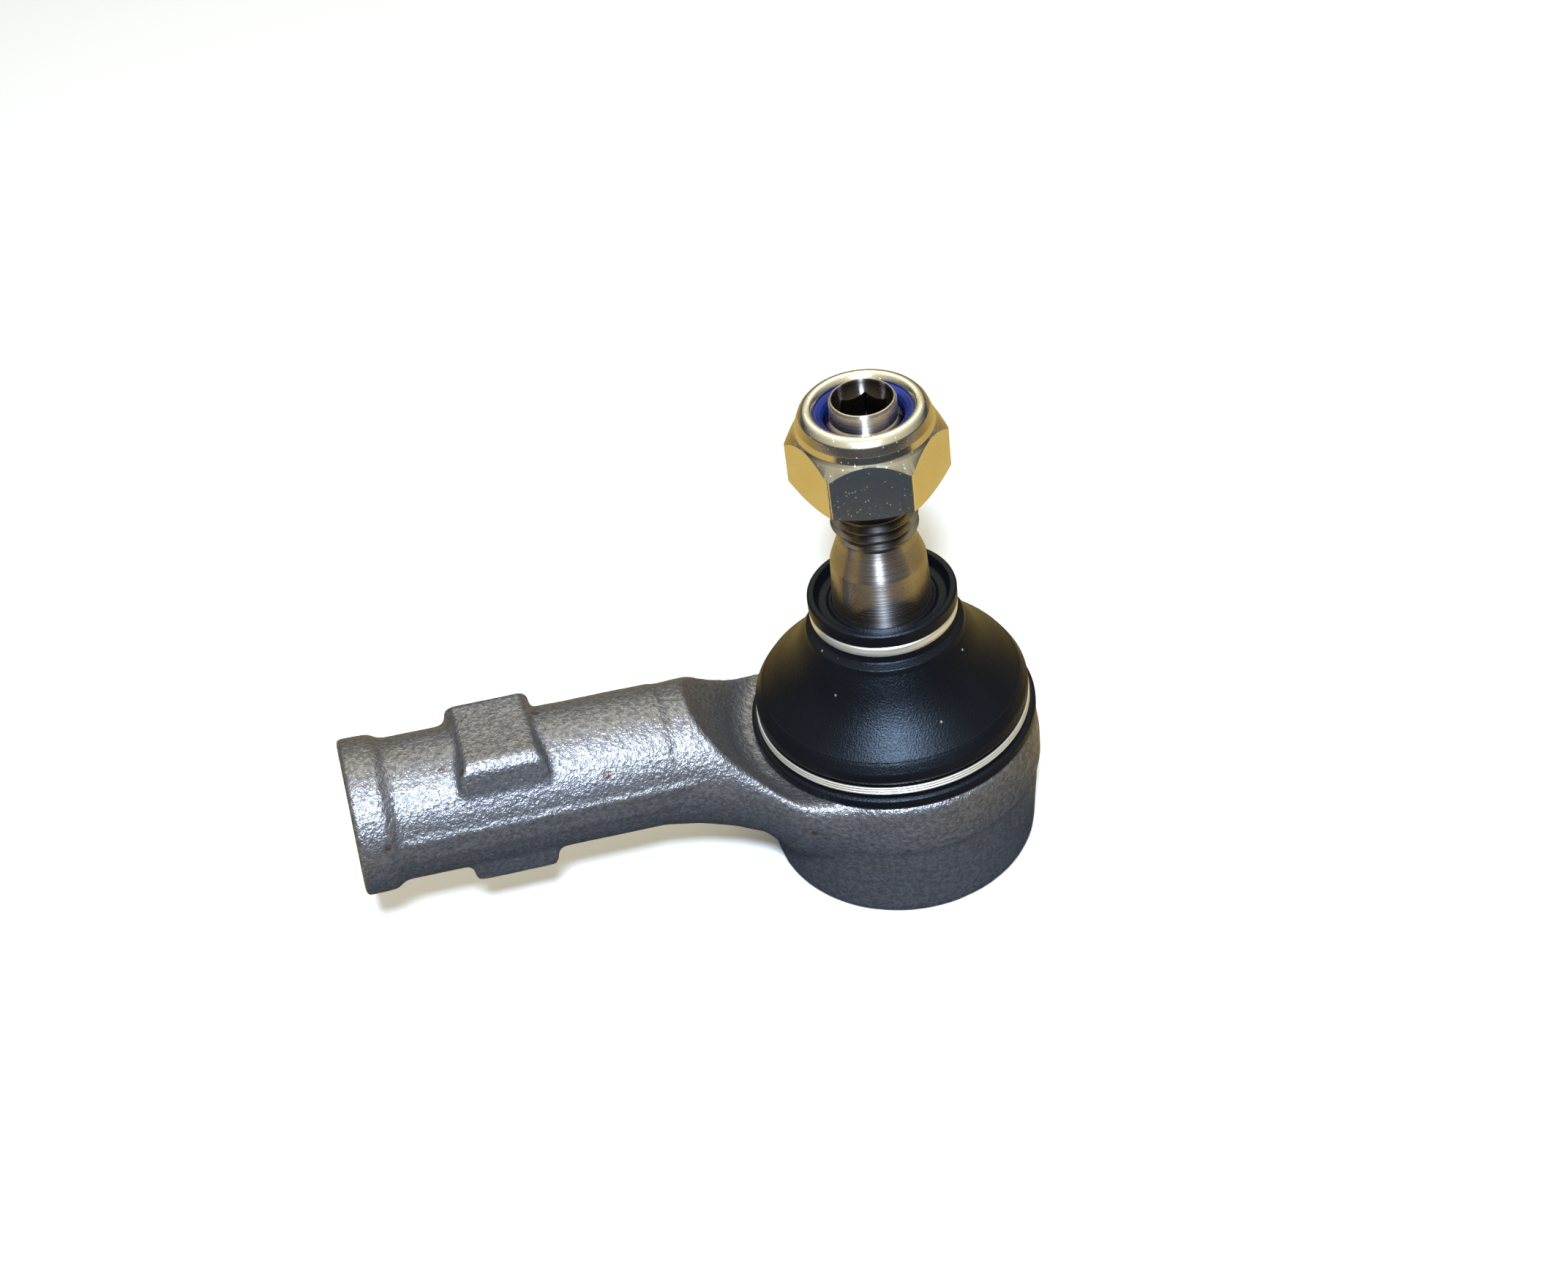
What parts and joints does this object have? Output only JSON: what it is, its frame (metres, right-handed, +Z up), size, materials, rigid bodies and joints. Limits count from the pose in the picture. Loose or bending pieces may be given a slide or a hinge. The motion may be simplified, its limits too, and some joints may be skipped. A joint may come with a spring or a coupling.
{
  "type": "tie rod end",
  "caption": "Outer steering tie rod end: ball joint with tapered stud, rubber boot, locking nut and a bent, internally threaded arm.",
  "frame": {"origin": "centre of the ball, which is the joint's pivot", "axes": "+Z runs up the stud's axis at rest; the arm leaves towards -X and rises slightly to its threaded end; Y is across the arm"},
  "size_m": [0.0992, 0.0412, 0.0776],
  "materials": {
    "forged_steel": "shot blasted, satin",
    "cap_steel": "zinc plated",
    "spring_steel": "phosphated",
    "bearing_plastic": "moulded acetal",
    "stud_steel": "turned and rolled, bright",
    "boot_rubber": "satin",
    "ring_steel": "bright wire",
    "nut_plating": "zinc plated with a light yellow passivation",
    "blue_nylon": "moulded nylon"
  },
  "bodies": {
    "housing_body": {"housing": "forged_steel", "end_cap": "cap_steel", "preload_spring": "spring_steel", "lower_bearing_seat": "bearing_plastic", "upper_bearing_seat": "bearing_plastic", "lower_boot_ring": "ring_steel"},
    "boot_body": {"dust_boot": "boot_rubber"},
    "lean_body": {"upper_boot_ring": "ring_steel"},
    "stud_body": {"ball_stud": "stud_steel"},
    "insert_body": {"nylon_insert": "blue_nylon"},
    "nut_body": {"lock_nut": "nut_plating"}
  },
  "joints": [
    {"name": "lean_direction", "type": "hinge", "parent": "housing_body", "child": "boot_body", "pos_m": [0, 0, 0], "axis": [0, 0, 1], "continuous": true},
    {"name": "stud_lean", "type": "hinge", "parent": "boot_body", "child": "lean_body", "pos_m": [0, 0, 0], "axis": [1, 0, 0], "range_deg": [-22, 22], "deforming": ["dust_boot"]},
    {"name": "stud_spin", "type": "hinge", "parent": "lean_body", "child": "stud_body", "pos_m": [0, 0, 0], "axis": [0, 0, 1], "continuous": true},
    {"name": "nut_travel", "type": "slide", "parent": "stud_body", "child": "insert_body", "axis": [0, 0, 1], "range_m": [-0.007, 0.0085]},
    {"name": "nut_turn", "type": "hinge", "parent": "insert_body", "child": "nut_body", "pos_m": [0, 0, 0], "axis": [0, 0, 1], "range_deg": [-1700, 2060]}
  ],
  "couplings": [
    {"joint": "nut_turn", "follows": "nut_travel", "rad_per_m": 4188.8}
  ]
}
